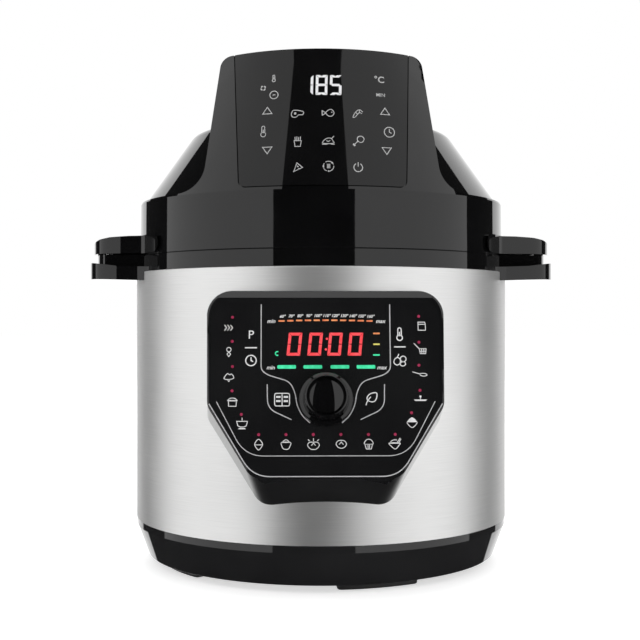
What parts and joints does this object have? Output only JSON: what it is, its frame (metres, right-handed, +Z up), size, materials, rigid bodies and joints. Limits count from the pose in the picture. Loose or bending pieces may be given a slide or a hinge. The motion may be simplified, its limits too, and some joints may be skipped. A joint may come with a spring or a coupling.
{
  "type": "electric pressure cooker",
  "caption": "Steel-wrapped electric pressure cooker on a black base, with a round control panel knob, two pairs of side handles and a domed air-fryer lid with a tall touch panel fitted on top.",
  "frame": {"origin": "on the cooker's axis at the level of the surface it stands on", "axes": "+Z up, -Y towards the front with the control knob, +X to the right as seen from the front"},
  "size_m": [0.3486, 0.349, 0.3642],
  "materials": {
    "gloss_black": "polished black plastic",
    "panel_black": "polished smoked black panel",
    "moulded_black": "fine-textured black plastic",
    "rubber": "matt black rubber",
    "silicone": "translucent grey silicone",
    "brushed_steel": "horizontally brushed stainless steel",
    "pressed_steel": "satin stainless steel",
    "zinc_steel": "bright zinc-plated steel",
    "chrome_wire": "polished chromed wire",
    "dark_steel": "heat-darkened steel sheath",
    "cast_aluminium": "turned cast aluminium",
    "pot_coating": "dark non-stick coating",
    "circuit_board": "green circuit board",
    "display_black": "black moulded component",
    "relay_blue": "blue moulded relay case",
    "brass": "bright brass",
    "clear_plastic": "clear moulded plastic"
  },
  "bodies": {
    "housing": {"base_shell": "gloss_black", "foot_right": "rubber", "foot_rear": "rubber", "foot_left": "rubber", "foot_front": "rubber", "steel_wrap": "brushed_steel", "top_collar": "gloss_black", "cooking_well": "pressed_steel", "heating_plate": "cast_aluminium", "heater_element": "dark_steel", "plate_screws": "zinc_steel", "sensor_bracket": "zinc_steel", "sensor_spring": "zinc_steel", "side_handle_left": "gloss_black", "side_handle_right": "gloss_black", "handle_screws": "zinc_steel", "module_housing": "gloss_black", "module_fascia": "panel_black", "control_board": "circuit_board", "display_block": "display_black", "rotary_encoder": "zinc_steel", "power_board": "circuit_board", "power_transformer": "display_black", "power_relay": "relay_blue", "pressure_switch": "moulded_black", "power_inlet": "moulded_black", "power_inlet_blades": "brass", "cup_holder": "moulded_black"},
    "sensor": {"temperature_sensor": "cast_aluminium"},
    "encoder": {"encoder_rotor": "moulded_black"},
    "knob": {"knob": "gloss_black", "knob_cap": "gloss_black", "encoder_shaft": "zinc_steel"},
    "cup": {"condensate_cup": "clear_plastic"},
    "pot": {"inner_pot": "pot_coating"},
    "lid": {"lid_shell": "gloss_black", "touch_panel": "panel_black", "dome_cover": "gloss_black", "rear_hood": "gloss_black", "lid_base_ring": "moulded_black", "lid_screws": "zinc_steel", "lid_seal": "silicone", "heat_shield": "pressed_steel", "heating_coil": "dark_steel", "coil_supports": "pressed_steel", "protective_grille": "chrome_wire", "motor_bracket": "zinc_steel", "fan_motor": "zinc_steel", "touch_board": "circuit_board", "lid_display": "display_black", "lid_power_board": "circuit_board", "lid_inlet": "moulded_black", "lid_inlet_blades": "brass", "lid_handle_left": "gloss_black", "lid_handle_right": "gloss_black", "lid_handle_screws": "zinc_steel"},
    "fan": {"motor_shaft": "zinc_steel", "convection_fan": "pressed_steel", "cooling_fan": "moulded_black", "fan_nut": "brass"}
  },
  "joints": [
    {"name": "pot_lift", "type": "slide", "parent": "housing", "child": "pot", "axis": [0, 0, 1], "range_m": [0, 0.2]},
    {"name": "lid_lift", "type": "slide", "parent": "pot", "child": "lid", "axis": [0, 0, 1], "range_m": [0, 0.2]},
    {"name": "fan_spin", "type": "hinge", "parent": "lid", "child": "fan", "pos_m": [0, 0, 0.25], "axis": [0, 0, 1], "continuous": true},
    {"name": "sensor_plunge", "type": "slide", "parent": "housing", "child": "sensor", "axis": [0, 0, -1], "range_m": [0, 0.003], "stiffness_N_per_m": 500, "springref_m": -0.004, "deforming": ["sensor_spring"]},
    {"name": "knob_spin", "type": "hinge", "parent": "housing", "child": "encoder", "pos_m": [0, -0.1614, 0.12913], "axis": [0, -0.9781, 0.2079], "continuous": true},
    {"name": "knob_push", "type": "slide", "parent": "encoder", "child": "knob", "axis": [0, 0.9781, -0.2079], "range_m": [0, 0.0012], "stiffness_N_per_m": 1500, "springref_m": -0.001},
    {"name": "cup_slide", "type": "slide", "parent": "housing", "child": "cup", "axis": [0, 1, 0], "range_m": [0, 0.035]}
  ]
}
